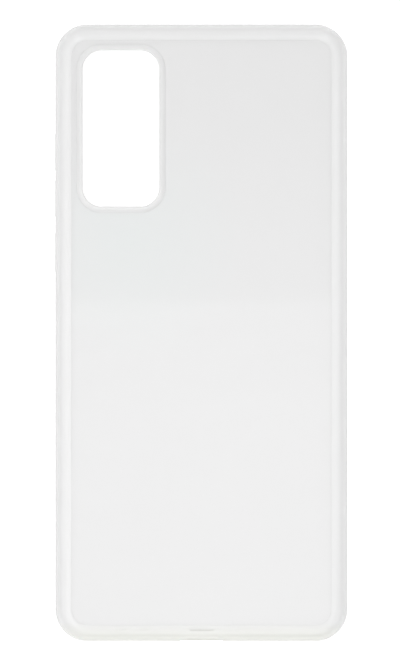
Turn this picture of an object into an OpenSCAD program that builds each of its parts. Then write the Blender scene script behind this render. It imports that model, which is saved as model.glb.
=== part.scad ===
// Clear hybrid phone case: a hard flat back plate in a soft frame, a soft
// rim round the camera window and three press-through key covers.
// The case lies with its back up. Z = 0 is the front rim that the case
// rests on, +Z points out of the back, +Y to the end with the camera
// window, and X = Y = 0 is the middle of the outline.

/* [Phone] */
// Width of the phone that the case fits
phone_w = 74.5; // [68:0.1:82]
// Length of the phone
phone_l = 159.8; // [140:0.1:172]
// Thickness of the phone
phone_t = 8.4; // [6.5:0.1:11]
// Corner radius of the phone's outline
phone_corner_r = 7.3; // [5:0.1:12]

/* [Shell] */
// Gap between the phone and the walls
fit_gap = 0.1; // [0:0.05:0.4]
// Thickness of the side walls
wall_t = 1.0; // [0.8:0.1:2.5]
// Thickness of the back
back_t = 1.0; // [0.8:0.1:2]
// Outer radius of the rounded back edge
edge_r = 4.2; // [2.5:0.1:5.5]
// Outer radius of the front rim
front_r = 0.8; // [0.3:0.1:0.9]
// Height of the front lip
lip_h = 0.9; // [0.6:0.1:1.6]
// Reach of the front lip over the phone
lip_reach = 1.3; // [0.6:0.1:2]
// Cut-back of the lip along the two long sides
lip_relief = 0.5; // [0:0.1:0.9]
// Distance from the top end to the start of the cut-back
relief_top = 12.5; // [11:0.5:40]
// Distance from the bottom end to the end of the cut-back
relief_bottom = 20.0; // [11:0.5:40]

/* [Back plate] */
// Flat strip of the frame between its rounded edge and the plate
plate_strip = 0.2; // [0.1:0.1:2]
// Width of the ledge under the plate's rim
ledge_w = 1.0; // [0.6:0.1:2]
// Thickness of the plate's rim, above the ledge
rim_t = 0.5; // [0.3:0.05:0.7]

/* [Camera window] */
// Width of the window
window_w = 20.1; // [12:0.1:40]
// Length of the window
window_l = 41.0; // [12:0.1:60]
// Corner radius of the window
window_r = 5.0; // [2:0.1:8]
// Gap between the frame's ledge and the window's rim, on the key side
margin_side = 1.0; // [0.3:0.1:24]
// Gap between the frame's ledge and the window's rim, at the top end
margin_top = 0.75; // [0.3:0.05:24]
// Width of the raised rim
ring_w = 1.6; // [1.1:0.1:2]
// Height of the raised rim above the back
ring_h = 0.4; // [0.3:0.1:1.6]
// Width of the raised rim's sloping outer side
ring_slope = 0.8; // [0.2:0.1:0.8]
// Thickness of the rim's neck, which lines the plate's cut-out
neck_t = 0.8; // [0.4:0.1:1]

/* [Key covers] */
// Length of the power key cover
power_len = 10.5; // [7:0.5:16]
// Position of the power key cover along the side
power_y = 21.1; // [10:0.1:28]
// Length of each volume key cover
volume_len = 9.8; // [7:0.1:14]
// Position of the middle of the volume key covers
volume_y = 41.4; // [38:0.1:50]
// Distance between the middles of the volume key covers
volume_pitch = 12.2; // [11:0.1:18]
// Height of the key covers
key_h = 2.6; // [2:0.1:3.4]
// Distance the key covers stand out of the wall
key_proud = 0.1; // [0:0.05:0.8]
// Travel of the key covers
key_travel = 0.4; // [0.2:0.05:0.6]
// Gap round the key covers
key_gap = 0.3; // [0.2:0.05:0.5]

/* [Bottom and top openings] */
// Width of the cable port
port_w = 12.6; // [10:0.1:16]
// Height of the cable port
port_h = 7.0; // [5:0.1:7.2]
// Corner radius of the cable port
port_r = 3.2; // [1:0.1:3.4]
// Width of the speaker slot
speaker_w = 12.0; // [6:0.5:18]
// Height of the speaker slot
speaker_h = 3.0; // [1.5:0.1:4]
// Distance of the speaker slot from the middle, to the key side
speaker_x = 18.4; // [14:0.1:24]
// Radius of the microphone holes
mic_r = 0.9; // [0.5:0.1:1.5]
// Distance of the microphone holes from the middle
mic_x = 11.0; // [9:0.5:24]

/* [Hidden] */
$fn = 64;
case_w = phone_w + 2 * (fit_gap + wall_t);
case_l = phone_l + 2 * (fit_gap + wall_t);
back_z = lip_h + phone_t + fit_gap + back_t;
corner_r = phone_corner_r + fit_gap + wall_t;
hw = case_w / 2;
hl = case_l / 2;
lip_edge = wall_t + fit_gap + lip_reach;
plate_inset = edge_r + plate_strip;
ledge_edge = plate_inset + ledge_w;
mid_z = lip_h + phone_t / 2;
window_x = ledge_edge + margin_side + neck_t + window_w / 2 - hw;
window_y = hl - ledge_edge - margin_top - neck_t - window_l / 2;
key_t = wall_t + key_proud - key_travel - 0.1;
key_edge_r = 0.3;
over = 1;

// A flat rectangle with round corners, centred.
module round_rect(w, l, r) {
    square([w - 2 * r, l], center = true);
    square([w, l - 2 * r], center = true);
    for (sx = [-1, 1]) {
        for (sy = [-1, 1]) {
            translate([sx * (w / 2 - r), sy * (l / 2 - r)]) circle(r);
        }
    }
}

// Sweeps a cross-section round a rectangle with round corners. In the
// cross-section x = 0 is the axis of the corner and y is the height.
module sweep_round(w, l, r) {
    sx = w / 2 - r;
    sy = l / 2 - r;
    translate([sx, sy, 0]) rotate_extrude(angle = 90) children();
    translate([-sx, sy, 0]) rotate([0, 0, 90]) rotate_extrude(angle = 90) children();
    translate([-sx, -sy, 0]) rotate([0, 0, 180]) rotate_extrude(angle = 90) children();
    translate([sx, -sy, 0]) rotate([0, 0, 270]) rotate_extrude(angle = 90) children();
    translate([sx, sy, 0]) rotate([90, 0, 0]) linear_extrude(2 * sy) children();
    translate([-sx, -sy, 0]) rotate([90, 0, 180]) linear_extrude(2 * sy) children();
    translate([-sx, sy, 0]) rotate([90, 0, 90]) linear_extrude(2 * sx) children();
    translate([sx, -sy, 0]) rotate([90, 0, 270]) linear_extrude(2 * sx) children();
}

// A quarter disc that fills the corner away from x = y = 0.
module quarter_disc(r) {
    intersection() {
        circle(r);
        square(r + over);
    }
}

// The frame's outer shape: rounded back edge, small round at the front rim.
module frame_outside() {
    x_in = corner_r - ledge_edge;
    translate([x_in, 0]) square([ledge_edge - edge_r, back_z]);
    translate([x_in, front_r]) square([ledge_edge, back_z - edge_r - front_r]);
    translate([x_in, 0]) square([ledge_edge - front_r, back_z - edge_r]);
    translate([corner_r - edge_r, back_z - edge_r]) quarter_disc(edge_r);
    translate([corner_r - front_r, front_r]) mirror([0, 1, 0]) quarter_disc(front_r);
}

// The room for the phone inside the frame, in cross-section.
module frame_inside() {
    x_in = corner_r - ledge_edge - over;
    r_in = edge_r - wall_t;
    z_in = back_z - back_t;
    translate([x_in, lip_h]) square([ledge_edge + over - edge_r, z_in - lip_h]);
    translate([x_in, lip_h]) square([ledge_edge + over - wall_t, z_in - r_in - lip_h]);
    translate([corner_r - edge_r, z_in - r_in]) quarter_disc(r_in);
}

// Cross-section of the frame: lip, wall, rounded edge and plate ledge.
module frame_section() {
    difference() {
        frame_outside();
        frame_inside();
        translate([corner_r - ledge_edge - over, -over])
            square([ledge_edge + over - lip_edge, lip_h + 2 * over]);
        translate([corner_r - ledge_edge - over, back_z - rim_t])
            square([ledge_edge + over - plate_inset, rim_t + over]);
    }
}

// Cross-section of the camera rim: neck in the plate, and on top a rim with
// a rounded inner edge and a sloping outer side.
module ring_section() {
    top_r = 0.25;
    foot_t = 0.1;
    translate([window_r, back_z - back_t]) square([neck_t, back_t + foot_t]);
    translate([window_r, back_z]) square([top_r, ring_h - top_r]);
    translate([window_r + top_r, back_z + ring_h - top_r])
        mirror([1, 0, 0]) quarter_disc(top_r);
    translate([window_r, back_z])
        polygon([
            [top_r, 0],
            [ring_w, 0],
            [ring_w, foot_t],
            [ring_w - ring_slope, ring_h],
            [top_r, ring_h],
        ]);
}

// A bar with round ends, len long in Y and h high in Z, from x = 0 to 3.
module key_window_cut(len, h) {
    rotate([90, 0, 90]) linear_extrude(3) round_rect(len, h, h / 2 - 0.001);
}

// Half cross-section of a key cover, from its middle line outwards.
module key_half_section() {
    r = key_h / 2;
    square([r - key_edge_r, key_t]);
    square([r, key_t - key_edge_r]);
    translate([r - key_edge_r, key_t - key_edge_r]) quarter_disc(key_edge_r);
}

// A key cover with its outer face to -X and its inner face in x = 0.
module key_cover(len) {
    s = len / 2 - key_h / 2;
    rotate([0, -90, 0]) {
        translate([0, s, 0]) rotate_extrude(angle = 180) key_half_section();
        translate([0, -s, 0]) rotate([0, 0, 180]) rotate_extrude(angle = 180) key_half_section();
        translate([0, s, 0]) rotate([90, 0, 0]) linear_extrude(2 * s) key_half_section();
        translate([0, -s, 0]) rotate([90, 0, 180]) linear_extrude(2 * s) key_half_section();
    }
}

// Places a key cover in the wall on the key side, at rest.
module place_key(y) {
    translate([-hw + wall_t - key_travel - 0.1, y, mid_z]) children();
}

module back_plate() {
    color([0.9, 0.93, 0.94, 0.45])
    difference() {
        union() {
            translate([0, 0, back_z - rim_t]) linear_extrude(rim_t)
                round_rect(case_w - 2 * plate_inset, case_l - 2 * plate_inset,
                    corner_r - plate_inset);
            translate([0, 0, back_z - back_t]) linear_extrude(back_t - rim_t / 2)
                round_rect(case_w - 2 * ledge_edge, case_l - 2 * ledge_edge,
                    corner_r - ledge_edge);
        }
        translate([window_x, window_y, back_z - back_t - over])
            linear_extrude(back_t + 2 * over)
            round_rect(window_w + 2 * neck_t, window_l + 2 * neck_t, window_r + neck_t);
    }
}

module bumper_frame() {
    color([0.88, 0.9, 0.9, 0.5])
    difference() {
        sweep_round(case_w, case_l, corner_r) frame_section();
        // Cut-back of the lip along the long sides.
        translate([0, (relief_bottom - relief_top) / 2, -over])
            linear_extrude(2 * over + lip_h)
            round_rect(case_w - 2 * (lip_edge - lip_relief),
                case_l - relief_top - relief_bottom, 2);
        // Cable port and speaker slot in the bottom wall.
        translate([0, -hl + 3, mid_z]) rotate([90, 0, 0]) linear_extrude(4)
            round_rect(port_w, port_h, port_r);
        translate([-speaker_x, -hl + 3, mid_z]) rotate([90, 0, 0]) linear_extrude(4)
            round_rect(speaker_w, speaker_h, speaker_h / 2 - 0.001);
        // Microphone holes in the bottom and the top wall.
        for (sy = [-1, 1]) {
            translate([mic_x, sy * hl, mid_z]) rotate([90, 0, 0])
                cylinder(h = 4, r = mic_r, center = true);
        }
        // Windows for the key covers.
        translate([-hw - over, power_y, mid_z])
            key_window_cut(power_len + 2 * key_gap, key_h + 2 * key_gap);
        for (s = [-0.5, 0.5]) {
            translate([-hw - over, volume_y + s * volume_pitch, mid_z])
                key_window_cut(volume_len + 2 * key_gap, key_h + 2 * key_gap);
        }
    }
}

module camera_ring() {
    color([0.84, 0.87, 0.88, 0.6])
    translate([window_x, window_y, 0])
        sweep_round(window_w, window_l, window_r) ring_section();
}

module power_key_cover() {
    color([0.86, 0.89, 0.9, 0.6])
    place_key(power_y) key_cover(power_len);
}

module volume_up_cover() {
    color([0.86, 0.89, 0.9, 0.6])
    place_key(volume_y + volume_pitch / 2) key_cover(volume_len);
}

module volume_down_cover() {
    color([0.86, 0.89, 0.9, 0.6])
    place_key(volume_y - volume_pitch / 2) key_cover(volume_len);
}

back_plate();
bumper_frame();
camera_ring();
power_key_cover();
volume_up_cover();
volume_down_cover();
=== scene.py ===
import math

import bmesh
import bpy
from mathutils import Matrix, Vector


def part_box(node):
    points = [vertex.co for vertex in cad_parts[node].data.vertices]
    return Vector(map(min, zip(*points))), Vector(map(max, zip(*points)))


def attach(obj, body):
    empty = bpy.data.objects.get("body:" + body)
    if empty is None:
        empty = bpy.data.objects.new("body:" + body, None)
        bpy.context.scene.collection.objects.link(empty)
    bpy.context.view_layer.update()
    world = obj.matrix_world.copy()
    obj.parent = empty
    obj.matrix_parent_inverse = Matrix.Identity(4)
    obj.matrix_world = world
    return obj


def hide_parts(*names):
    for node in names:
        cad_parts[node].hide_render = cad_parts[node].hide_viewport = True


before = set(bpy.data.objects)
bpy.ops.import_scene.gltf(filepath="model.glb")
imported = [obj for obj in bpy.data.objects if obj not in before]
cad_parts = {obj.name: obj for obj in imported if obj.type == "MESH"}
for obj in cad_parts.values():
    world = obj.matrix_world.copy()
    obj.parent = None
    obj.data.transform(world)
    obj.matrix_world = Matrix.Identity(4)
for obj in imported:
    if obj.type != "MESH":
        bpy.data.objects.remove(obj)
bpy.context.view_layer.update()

MM = 0.001

# ---------------------------------------------------------------- sizes
# The outline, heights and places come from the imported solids, in metres.
_, f_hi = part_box("bumper_frame")
p_lo, p_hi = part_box("back_plate")
r_lo, r_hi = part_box("camera_ring")
HALF_W, HALF_L, BACK_Z = f_hi.x, f_hi.y, f_hi.z
PLATE_IN = HALF_W - p_hi.x
BACK_T = BACK_Z - p_lo.z
RING_CX, RING_CY = (r_lo.x + r_hi.x) / 2, (r_lo.y + r_hi.y) / 2
# What a box can't tell is written here as the solids have it. Insets run from the outline inwards.
CORNER_R = 8.4 * MM
WALL = 1.0 * MM
EDGE_R = 4.2 * MM
# The plate's thin rim lies on the frame's ledge, whose inner edge is at LEDGE_IN.
RIM_T = 0.5 * MM
LEDGE_IN = PLATE_IN + 1.0 * MM
# The camera window, and the rim round it: its width, its sloping part and its neck through the plate.
RING_W = 1.6 * MM
RING_SLOPE = 0.8 * MM
NECK = 0.8 * MM
WIN_HW, WIN_HL = (r_hi.x - r_lo.x) / 2 - RING_W, (r_hi.y - r_lo.y) / 2 - RING_W
WIN_R = 5.0 * MM
# The front lip: height, inset, and how far it is cut back along the middle of the long sides.
LIP_H = 0.9 * MM
LIP_IN = 2.4 * MM
LIP_CUT = 0.5 * MM
# The cut comes in and goes out over these runs, each a start and an end in y.
CUT_BOTTOM = (-62 * MM, -59.5 * MM)
CUT_TOP = (67 * MM, 69.5 * MM)
# Openings in the walls: width, height, corner radius, place in x. All are at one height.
MID_Z = 5.1 * MM
CABLE_PORT = (12.6 * MM, 7.0 * MM, 3.2 * MM, 0.0)
SPEAKER_SLOT = (12.0 * MM, 3.0 * MM, 1.49 * MM, -18.4 * MM)
MIC_HOLE = (1.8 * MM, 1.8 * MM, 0.89 * MM, 11 * MM)
# Each key cover stands in a window with this gap round it. Both are pills: PILL is the corner radius
# as a share of half the height, a little under 1 so that the short ends keep a face.
KEY_GAP = 0.3 * MM
PILL = 0.99
# How far edges are rounded: a key cover's outer edge, the plate's edges, the frame's openings.
KEY_ROUND = 0.32 * MM
SEAM_ROUND = 0.025 * MM
WALL_EDGE_ROUND = 0.16 * MM
# Room between pieces that touch.
AIR = 0.01 * MM
# Lines moulded across the back edge, in millimetres: place in x, length, depth.
BACK_MARKS = ((0.1, 6.2, 0.25), (-21.2, 2.4, 0.12), (-15.1, 2.0, 0.12))
# Each key cover's node and the body that it is.
KEYS = {
    "power_key_cover": "power_key",
    "volume_up_cover": "volume_up",
    "volume_down_cover": "volume_down",
}


# ---------------------------------------------------------------- mesh helpers
def rounded(points, segments=6):
    """A closed outline with each corner (x, y, r) rounded by its radius."""
    out = []
    n = len(points)
    for i, (x, y, r) in enumerate(points):
        p = Vector((x, y))
        a = (Vector(points[i - 1][:2]) - p).normalized()
        b = (Vector(points[(i + 1) % n][:2]) - p).normalized()
        if r <= 0:
            out.append(p)
            continue
        half = a.angle(b) / 2
        d = r / math.tan(half)
        centre = p + (a + b).normalized() * (r / math.sin(half))
        v0, v1 = p + a * d - centre, p + b * d - centre
        turn = v0.angle_signed(v1)
        steps = max(2, math.ceil(segments * abs(turn) / (math.pi / 2)))
        for k in range(steps + 1):
            t = -turn * k / steps
            out.append(centre + Matrix.Rotation(t, 2) @ v0)
    return out


def stations(hw, hl, r, per_corner=28, step=3.0 * MM):
    """Places round a rounded rectangle: the corner centre and the outward direction."""
    out = []
    cx, cy = hw - r, hl - r
    corners = [(cx, cy, 0), (-cx, cy, 90), (-cx, -cy, 180), (cx, -cy, 270)]
    for i, (x, y, start) in enumerate(corners):
        for k in range(per_corner + 1):
            a = math.radians(start + 90 * k / per_corner)
            out.append((Vector((x, y)), Vector((math.cos(a), math.sin(a)))))
        nx, ny, _ = corners[(i + 1) % 4]
        run = Vector((nx - x, ny - y))
        a = math.radians(start + 90)
        n = max(1, round(run.length / step))
        for k in range(1, n):
            out.append((Vector((x, y)) + run * (k / n), Vector((math.cos(a), math.sin(a)))))
    return out


def sweep(name, places, r, section_at):
    """Carries a closed section of (inset, height) points round the places."""
    bm = bmesh.new()
    rings = []
    for c, n in places:
        pts = section_at(c, n)
        rings.append([bm.verts.new((*(c + n * (r - u)), z)) for u, z in pts])
    m = len(rings[0])
    for i, ring in enumerate(rings):
        nxt = rings[(i + 1) % len(rings)]
        for k in range(m):
            bm.faces.new((ring[k], ring[(k + 1) % m], nxt[(k + 1) % m], nxt[k]))
    return to_object(name, bm)


def layered(name, hw, hl, r, layers, per_corner=24, place=None):
    """A solid with a rounded-rectangle outline: each layer is (inset, height)."""
    bm = bmesh.new()
    rings = []
    for inset, z in layers:
        ring = []
        for c, n in stations(hw, hl, r, per_corner, step=math.inf):
            p = c + n * (r - inset)
            ring.append(bm.verts.new((p.x, p.y, z)))
        rings.append(ring)
    m = len(rings[0])
    for a, b in zip(rings, rings[1:]):
        for k in range(m):
            bm.faces.new((a[k], a[(k + 1) % m], b[(k + 1) % m], b[k]))
    bm.faces.new(list(reversed(rings[0])))
    bm.faces.new(rings[-1])
    obj = to_object(name, bm)
    if place is not None:
        obj.data.transform(place)
    return obj


def to_object(name, bm):
    """Makes an object of the mesh, its faces turned outwards."""
    bmesh.ops.recalc_face_normals(bm, faces=bm.faces)
    mesh = bpy.data.meshes.new(name)
    bm.to_mesh(mesh)
    bm.free()
    obj = bpy.data.objects.new(name, mesh)
    bpy.context.scene.collection.objects.link(obj)
    return obj


def cut(obj, cutters):
    """Cuts the solids out of obj and removes them."""
    for c in cutters:
        m = obj.modifiers.new("cut", "BOOLEAN")
        m.operation = "DIFFERENCE"
        m.solver = "EXACT"
        m.object = c
    bake_modifiers(obj)
    for c in cutters:
        bpy.data.objects.remove(c)


def bake_modifiers(obj):
    """Makes the modifiers' result the object's own mesh."""
    dg = bpy.context.evaluated_depsgraph_get()
    dg.update()
    mesh = bpy.data.meshes.new_from_object(obj.evaluated_get(dg))
    obj.modifiers.clear()
    obj.data = mesh


def soften(obj, width, angle=35, segments=3):
    """Rounds the edges that are still sharp, then shades the rest smooth."""
    bm = bmesh.new()
    bm.from_mesh(obj.data)
    bmesh.ops.remove_doubles(bm, verts=bm.verts, dist=1e-7)
    bmesh.ops.dissolve_degenerate(bm, edges=bm.edges, dist=1e-7)
    bm.to_mesh(obj.data)
    bm.free()
    b = obj.modifiers.new("round", "BEVEL")
    b.width = width
    b.segments = segments
    b.limit_method = "ANGLE"
    b.angle_limit = math.radians(angle)
    b.use_clamp_overlap = True
    b.miter_outer = "MITER_ARC"
    bake_modifiers(obj)
    smooth(obj)


def smooth(obj, angle=30):
    """Shades smooth, with the edges that turn by more than the angle kept crisp."""
    for p in obj.data.polygons:
        p.use_smooth = True
    bm = bmesh.new()
    bm.from_mesh(obj.data)
    for e in bm.edges:
        e.smooth = len(e.link_faces) == 2 and e.calc_face_angle(0) < math.radians(angle)
    bm.to_mesh(obj.data)
    bm.free()
    w = obj.modifiers.new("normals", "WEIGHTED_NORMAL")
    w.keep_sharp = True
    w.weight = 80
    bake_modifiers(obj)


def ease(x, a, b):
    """0 before a, 1 after b, and a soft step between them."""
    t = min(max((x - a) / (b - a), 0), 1)
    return t * t * (3 - 2 * t)


# ---------------------------------------------------------------- frame
def frame_section(c, n):
    """Wall section: front lip, wall, rounded back edge and the plate's ledge."""
    on_long_side = abs(n.x) > 0.999
    k = ease(c.y, *CUT_BOTTOM) * (1 - ease(c.y, *CUT_TOP)) if on_long_side else 0
    lip = LIP_IN - LIP_CUT * k
    return rounded(
        [
            (0, 0, 0.8 * MM),
            (0, BACK_Z, EDGE_R),
            (PLATE_IN, BACK_Z, SEAM_ROUND),
            (PLATE_IN, BACK_Z - RIM_T, 0.05 * MM),
            (LEDGE_IN, BACK_Z - RIM_T, 0.1 * MM),
            (LEDGE_IN, BACK_Z - BACK_T, 0.1 * MM),
            (WALL, BACK_Z - BACK_T, EDGE_R - WALL),
            (WALL, LIP_H, 0.2 * MM),
            (lip, LIP_H, 0.3 * MM),
            (lip, 0, 0.3 * MM),
        ],
        segments=10,
    )


frame_obj = sweep(
    "soft_frame", stations(HALF_W, HALF_L, CORNER_R, 30, 2.4 * MM), CORNER_R, frame_section
)


def wall_cutter(width, height, r, x, y, turn=0):
    """A rounded slot through the wall at (x, y). A turn of 90 sends it through a long side."""
    place = (
        Matrix.Translation((x, y, MID_Z))
        @ Matrix.Rotation(math.radians(turn), 4, "Z")
        @ Matrix.Rotation(math.radians(90), 4, "X")
    )
    reach = 3.5 * MM
    return layered("cutter", width / 2, height / 2, r, [(0, -reach), (0, reach)], 12, place)


def key_cutter(node):
    """The window that a key cover moves in."""
    lo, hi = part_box(node)
    width = hi.y - lo.y + 2 * KEY_GAP
    height = hi.z - lo.z + 2 * KEY_GAP
    return wall_cutter(width, height, height / 2 * PILL, -HALF_W, (lo.y + hi.y) / 2, 90)


def back_mark(x, length, depth):
    """A short shallow line moulded across the back edge, over an opening."""
    inset, half_w, end_r, above = 3.1 * MM, 0.22 * MM, 0.2 * MM, 1 * MM
    surface = BACK_Z - EDGE_R + math.sqrt(EDGE_R**2 - (EDGE_R - inset) ** 2)
    place = Matrix.Translation((x, inset - HALF_L, surface))
    layers = [(0, -depth), (0, above)]
    return layered("cutter", length / 2, half_w, end_r, layers, 6, place)


cutters = [
    wall_cutter(*CABLE_PORT, -HALF_L),
    wall_cutter(*SPEAKER_SLOT, -HALF_L),
    wall_cutter(*MIC_HOLE, -HALF_L),
    wall_cutter(*MIC_HOLE, HALF_L),
    *[key_cutter(node) for node in KEYS],
]
cut(frame_obj, cutters)
soften(frame_obj, WALL_EDGE_ROUND)
cut(frame_obj, [back_mark(x * MM, length * MM, depth * MM) for x, length, depth in BACK_MARKS])
smooth(frame_obj)

# ---------------------------------------------------------------- back plate
plate = layered(
    "clear_panel", HALF_W, HALF_L, CORNER_R,
    [
        (LEDGE_IN + AIR, BACK_Z - BACK_T),
        (LEDGE_IN + AIR, BACK_Z - RIM_T + AIR),
        (PLATE_IN + AIR, BACK_Z - RIM_T + AIR),
        (PLATE_IN + AIR, BACK_Z),
    ],
)
window = layered(
    "cutter", WIN_HW + NECK + AIR, WIN_HL + NECK + AIR, WIN_R + NECK + AIR,
    [(0, BACK_Z - 3 * MM), (0, BACK_Z + 3 * MM)], 24,
    Matrix.Translation((RING_CX, RING_CY, 0)),
)
cut(plate, [window])
soften(plate, SEAM_ROUND)


# ---------------------------------------------------------------- camera rim
def ring_section(c, n):
    """Rim section: the neck through the plate, and the raised rim with its slope on the plate."""
    top = r_hi.z
    return rounded(
        [
            (0, BACK_Z - BACK_T, 0.15 * MM),
            (0, top, 0.25 * MM),
            (RING_SLOPE - RING_W, top, 2.0 * MM),
            (-RING_W, BACK_Z + 0.08 * MM, 0.02 * MM),
            (-RING_W, BACK_Z + AIR, 0),
            (-NECK, BACK_Z + AIR, 0),
            (-NECK, BACK_Z - BACK_T, 0.1 * MM),
        ],
        segments=6,
    )


ring = sweep(
    "camera_rim",
    [(c + Vector((RING_CX, RING_CY)), n) for c, n in stations(WIN_HW, WIN_HL, WIN_R, 24, 3 * MM)],
    WIN_R, ring_section,
)
smooth(ring)

# ---------------------------------------------------------------- key covers
def key_pad(node):
    """A pill standing in the wall, its outer edge rounded."""
    lo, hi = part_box(node)
    thick, height = hi.x - lo.x, hi.z - lo.z
    chamfer, steps = 0.05 * MM, 6
    layers = [(chamfer, 0), (0, chamfer), (0, thick - KEY_ROUND)]
    for k in range(1, steps + 1):
        a = math.pi / 2 * k / steps
        layers.append((KEY_ROUND * (1 - math.cos(a)), thick - KEY_ROUND + KEY_ROUND * math.sin(a)))
    place = (
        Matrix.Translation((hi.x, (lo.y + hi.y) / 2, (lo.z + hi.z) / 2))
        @ Matrix.Rotation(math.radians(90), 4, "Z")
        @ Matrix.Rotation(math.radians(90), 4, "X")
        @ Matrix.Rotation(math.radians(180), 4, "Y")
    )
    name = node.replace("_cover", "_pad")
    pad = layered(name, (hi.y - lo.y) / 2, height / 2, height / 2 * PILL, layers, 14, place)
    smooth(pad)
    return pad


pads = {node: key_pad(node) for node in KEYS}


# ---------------------------------------------------------------- materials
# Base tints, linear.
HAZE_DEEP, HAZE_PALE = (0.813, 0.812, 0.813), (0.827, 0.826, 0.827)
COOL_CAST = (0.805, 0.826, 0.822)
AGED = (0.889, 0.893, 0.850)
# The panel's scratches, in degrees and millimetres: angle, length, width, and the crest that shows.
SCRATCHES = ((24, 30, 0.1, 0.66), (-57, 18, 0.08, 0.67), (81, 40, 0.12, 0.66))


def new_material(name):
    m = bpy.data.materials.new(name)
    m.use_nodes = True
    nt = m.node_tree
    return m, nt, nt.nodes["Principled BSDF"]


def noise(nt, coord, scale, detail=3.0):
    n = nt.nodes.new("ShaderNodeTexNoise")
    n.inputs["Scale"].default_value = scale
    n.inputs["Detail"].default_value = detail
    nt.links.new(coord, n.inputs["Vector"])
    return n.outputs["Fac"]


def ramp(nt, fac, lo, hi, a=0.3, b=0.7):
    """Runs from lo to hi as fac runs from a to b."""
    m = nt.nodes.new("ShaderNodeMapRange")
    m.inputs["From Min"].default_value = a
    m.inputs["From Max"].default_value = b
    m.inputs["To Min"].default_value = lo
    m.inputs["To Max"].default_value = hi
    nt.links.new(fac, m.inputs["Value"])
    return m.outputs["Result"]


def math_node(nt, op, *values):
    """One sum on numbers or sockets."""
    m = nt.nodes.new("ShaderNodeMath")
    m.operation = op
    for socket, value in zip(m.inputs, values):
        if isinstance(value, (int, float)):
            socket.default_value = value
        else:
            nt.links.new(value, socket)
    return m.outputs["Value"]


def tint_mix(nt, fac, a, b):
    """Runs between two colours, each an (r, g, b) or a socket."""
    mix = nt.nodes.new("ShaderNodeMix")
    mix.data_type = "RGBA"
    nt.links.new(fac, mix.inputs["Factor"])
    for key, value in (("A", a), ("B", b)):
        if isinstance(value, tuple):
            mix.inputs[key].default_value = (*value, 1)
        else:
            nt.links.new(value, mix.inputs[key])
    return mix.outputs["Result"]


def bump(nt, height, strength, distance, normal=None):
    b = nt.nodes.new("ShaderNodeBump")
    b.inputs["Strength"].default_value = strength
    b.inputs["Distance"].default_value = distance
    nt.links.new(height, b.inputs["Height"])
    if normal is not None:
        nt.links.new(normal, b.inputs["Normal"])
    return b.outputs["Normal"]


def object_place(nt):
    return nt.nodes.new("ShaderNodeTexCoord").outputs["Object"]


def hairlines(nt, coord, angle, length, width, keep):
    """Sparse straight scratches: long thin noise cells, only their crests kept."""
    m = nt.nodes.new("ShaderNodeMapping")
    m.inputs["Rotation"].default_value = (0, 0, math.radians(angle))
    m.inputs["Scale"].default_value = (1 / length, 1 / width, 1 / length)
    nt.links.new(coord, m.inputs["Vector"])
    return ramp(nt, noise(nt, m.outputs["Vector"], 1.0, 1.0), 0, 1, keep, keep + 0.04)


def near_point(nt, coord, point, radius):
    """1 at the point, fading to 0 at the radius."""
    d = nt.nodes.new("ShaderNodeVectorMath")
    d.operation = "DISTANCE"
    nt.links.new(coord, d.inputs[0])
    d.inputs[1].default_value = point
    return ramp(nt, d.outputs["Value"], 1, 0, 0, radius)


def painted_side_shade(nt, share, colour):
    """Paints shade: takes the colour down to a share of it where the surface turns sideways, standing
    in for the dark edges of clear plastic.
    """
    facing = nt.nodes.new("ShaderNodeSeparateXYZ")
    nt.links.new(nt.nodes.new("ShaderNodeTexCoord").outputs["Normal"], facing.inputs["Vector"])
    turn = ramp(nt, math_node(nt, "ABSOLUTE", facing.outputs["Z"]), share, 1, 0.0, 0.5)
    return tint_mix(nt, turn, (0, 0, 0), colour)


def hard_panel():
    """Glossy hard plastic with a milky haze, handling scratches and a cool cast."""
    m, nt, p = new_material("panel_clear")
    coord = object_place(nt)
    p.inputs["IOR"].default_value = 1.55
    p.inputs["Transmission Weight"].default_value = 0.15
    haze = tint_mix(nt, noise(nt, coord, 22, 4.0), HAZE_DEEP, HAZE_PALE)
    below_window = (RING_CX + 2 * MM, RING_CY - 29 * MM, BACK_Z)
    cool = tint_mix(nt, near_point(nt, coord, below_window, 32 * MM), haze, COOL_CAST)
    nt.links.new(cool, p.inputs["Base Color"])
    first, second, third = [
        hairlines(nt, coord, angle, length * MM, width * MM, keep)
        for angle, length, width, keep in SCRATCHES
    ]
    scratch = math_node(nt, "MAXIMUM", math_node(nt, "MAXIMUM", first, second), third)
    fine = ramp(nt, noise(nt, coord, 160), 0.006, 0.013)
    rough = math_node(nt, "ADD", fine, math_node(nt, "MULTIPLY", scratch, 0.16))
    nt.links.new(rough, p.inputs["Roughness"])
    nt.links.new(bump(nt, scratch, 0.15, -0.01 * MM), p.inputs["Normal"])
    return m


def soft_rubber(name, tone, edge):
    """Satin soft plastic: mottled gloss, fine grain, yellowed a little at the cable end.

    The tone is its grey; the last argument is the share of it left on surfaces that face sideways,
    painted shade for their dark edges.
    """
    m, nt, p = new_material(name)
    coord = object_place(nt)
    p.inputs["IOR"].default_value = 1.5
    p.inputs["Transmission Weight"].default_value = 0.25
    base = tint_mix(nt, noise(nt, coord, 35, 4.0), (tone,) * 3, (tone + 0.013,) * 3)
    place = nt.nodes.new("ShaderNodeSeparateXYZ")
    nt.links.new(coord, place.inputs["Vector"])
    aged = ramp(nt, place.outputs["Y"], 1, 0, -HALF_L + 1 * MM, -HALF_L + 5 * MM)
    warm = tint_mix(nt, aged, base, AGED)
    # Painted shade: the base colour is darkened on surfaces that face sideways.
    nt.links.new(painted_side_shade(nt, edge, warm), p.inputs["Base Color"])
    nt.links.new(ramp(nt, noise(nt, coord, 260, 4.0), 0.07, 0.14), p.inputs["Roughness"])
    wave = bump(nt, noise(nt, coord, 180), 0.03, 0.05 * MM)
    nt.links.new(bump(nt, noise(nt, coord, 3500, 2.0), 0.12, 0.01 * MM, wave), p.inputs["Normal"])
    return m


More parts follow.
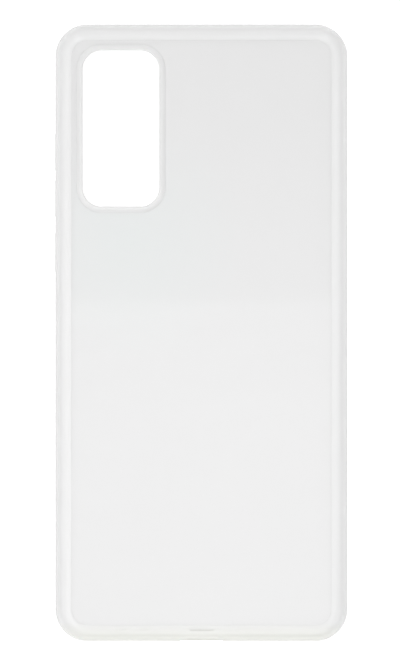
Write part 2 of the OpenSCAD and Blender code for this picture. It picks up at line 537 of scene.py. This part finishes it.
panel_mat = hard_panel()
soft_mat = soft_rubber("soft_clear", 0.886, 0.76)
# The rim is a darker, shaded copy of the same soft plastic: its lower grey and deeper painted shade
# on sideways faces give the dark line round the window.
rim_mat = soft_rubber("rim_clear", 0.872, 0.5)

for obj, nodes, body, mat, slot in (
    (frame_obj, ["bumper_frame"], "case", soft_mat, "clear_soft"),
    (plate, ["back_plate"], "case", panel_mat, "clear_panel"),
    (ring, ["camera_ring"], "case", rim_mat, "clear_soft"),
    *[(pads[node], [node], body, soft_mat, "clear_soft") for node, body in KEYS.items()],
):
    obj.data.materials.clear()
    obj.data.materials.append(mat)
    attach(obj, body)
    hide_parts(*nodes)

# ---------------------------------------------------------------- floor and light
def pale_floor():
    """A pale glowing table, so that the case lies on white as on a light box."""
    bm = bmesh.new()
    bmesh.ops.create_grid(bm, x_segments=8, y_segments=8, size=3.0)
    floor = to_object("floor", bm)
    floor.location.z = -0.05 * MM
    m, nt, p = new_material("pale_floor")
    shade = noise(nt, object_place(nt), 4)
    nt.links.new(tint_mix(nt, shade, (0.45, 0.45, 0.45), (0.44, 0.44, 0.44)), p.inputs["Base Color"])
    p.inputs["Roughness"].default_value = 0.9
    p.inputs["Specular IOR Level"].default_value = 0.0
    p.inputs["Emission Color"].default_value = (1, 1, 1, 1)
    p.inputs["Emission Strength"].default_value = 0.72
    floor.data.materials.append(m)


def area(name, place, target, size_x, size_y, power):
    """A rectangular studio light turned to its target, in metres and watts."""
    light = bpy.data.lights.new(name, "AREA")
    light.shape = "RECTANGLE"
    light.size, light.size_y = size_x, size_y
    light.energy = power
    obj = bpy.data.objects.new(name, light)
    bpy.context.scene.collection.objects.link(obj)
    obj.location = place
    obj.rotation_euler = (Vector(target) - Vector(place)).to_track_quat("-Z", "Y").to_euler()


def graded_card(name, height, y_lo, y_mid, y_hi, width, top):
    """A card over the case, glowing at its low-Y end and dark past y_mid."""
    bm = bmesh.new()
    corners = [(-width / 2, y_lo), (width / 2, y_lo), (width / 2, y_hi), (-width / 2, y_hi)]
    bm.faces.new([bm.verts.new((x, y, height)) for x, y in corners])
    card = to_object(name, bm)
    m, nt, _ = new_material(name)
    place = nt.nodes.new("ShaderNodeSeparateXYZ")
    nt.links.new(object_place(nt), place.inputs["Vector"])
    glow = nt.nodes.new("ShaderNodeEmission")
    nt.links.new(ramp(nt, place.outputs["Y"], top, 0, y_lo, y_mid), glow.inputs["Strength"])
    nt.links.new(glow.outputs["Emission"], nt.nodes["Material Output"].inputs["Surface"])
    card.data.materials.append(m)


def studio_world():
    """A white dome, dim at the horizon and bright from about 35 degrees up."""
    world = bpy.data.worlds.new("studio")
    bpy.context.scene.world = world
    world.use_nodes = True
    nt = world.node_tree
    sky = nt.nodes["Background"]
    sky.inputs["Color"].default_value = (1, 1, 1, 1)
    way = nt.nodes.new("ShaderNodeSeparateXYZ")
    nt.links.new(nt.nodes.new("ShaderNodeTexCoord").outputs["Generated"], way.inputs["Vector"])
    nt.links.new(ramp(nt, way.outputs["Z"], 0.28, 0.96, 0.08, 0.58), sky.inputs["Strength"])


pale_floor()
for side, power in ((-1, 4.4), (1, 2.2)):
    area("side_box", (side * 0.95, -0.4, 1.0), (0, -0.4, 0), 0.9, 1.8, power)
    area("corner_box", (side * 0.49, 0.92, 1.08), (0, 0, 0), 0.24, 1.5, 1.6)
area("back_box", (0, 1.3, 0.5), (0, 0, 0), 1.0, 0.5, 1.1)
area("front_box", (0, -1.2, 0.9), (0, 0, 0), 1.4, 0.8, 3.2)
# The back mirrors these two cards. The edge where they meet makes the step across it.
CARD_EDGE, CARD_HEIGHT, NEAR_LENGTH = 18.7 * MM, 2.0, 0.25
near_y = CARD_EDGE - NEAR_LENGTH / 2
area("near_card", (0, near_y, CARD_HEIGHT), (0, near_y, 0), 0.4, NEAR_LENGTH, 0.17)
graded_card("graded_card", CARD_HEIGHT, CARD_EDGE, 0.14, 0.85, 1.4, 0.88)
studio_world()


# ---------------------------------------------------------------- camera
def front_camera():
    """Looks straight down on the back from far off, as the picture does."""
    data = bpy.data.cameras.new("camera")
    cam = bpy.data.objects.new("camera", data)
    bpy.context.scene.collection.objects.link(cam)
    away, seen_width = 1.6, 175.4 * MM
    data.sensor_width = 36
    data.lens = data.sensor_width * away / seen_width
    data.clip_start, data.clip_end = 0.05, 20
    # The case stands a hair right of and above the middle of the picture.
    cam.location = (-0.37 * MM, -0.18 * MM, BACK_Z * 0.5 + away)
    bpy.context.scene.camera = cam


front_camera()
bpy.context.scene.view_settings.view_transform = "Standard"
